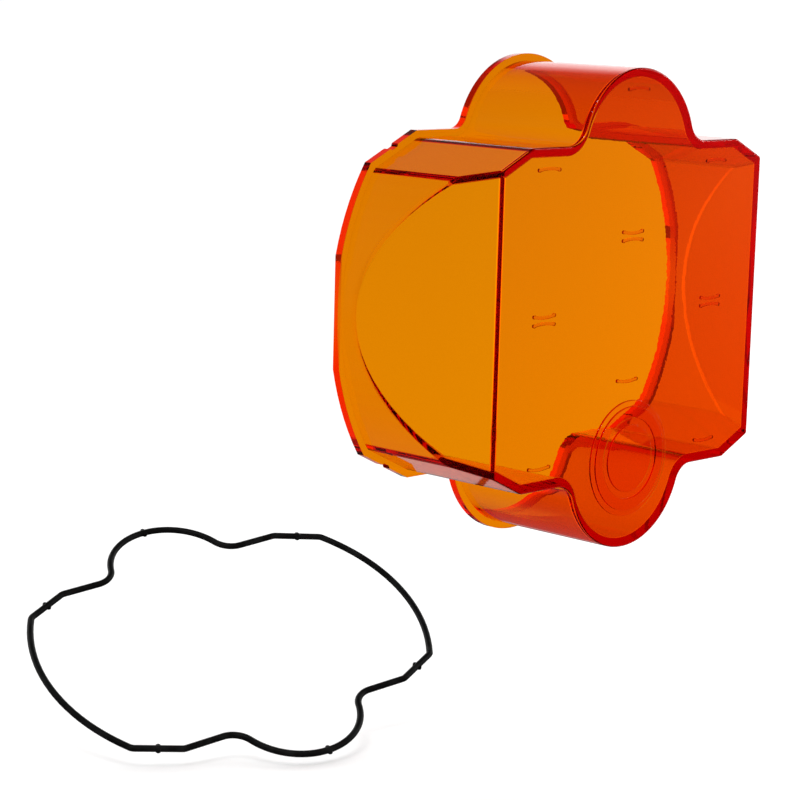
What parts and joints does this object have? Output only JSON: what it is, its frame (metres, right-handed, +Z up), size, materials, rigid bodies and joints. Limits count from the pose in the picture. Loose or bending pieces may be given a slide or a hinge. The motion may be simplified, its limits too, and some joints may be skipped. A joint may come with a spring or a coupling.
{
  "type": "amber lamp cover with seal",
  "caption": "Clear amber moulded cover for a round-sided lamp, with a flanged open back and a separate black rubber seal that swings onto its seat.",
  "frame": {"origin": "centre of the flange's flat back, where the cover seats on the lamp", "axes": "+Y out of the open back towards the lamp, +X to the right seen from the front, +Z up"},
  "size_m": [0.2138, 0.3228, 0.2902],
  "materials": {
    "amber_plastic": "clear amber polycarbonate, polished",
    "black_rubber": "satin moulded rubber"
  },
  "bodies": {
    "lens": {"amber_lens": "amber_plastic"},
    "seal": {"gasket": "black_rubber"}
  },
  "joints": [
    {"name": "seal_swing", "type": "hinge", "parent": "lens", "child": "seal", "pos_m": [0.05061, -0.0315, -0.21923], "axis": [0.9744, 0, 0.225], "range_deg": [0, 69.5]}
  ]
}
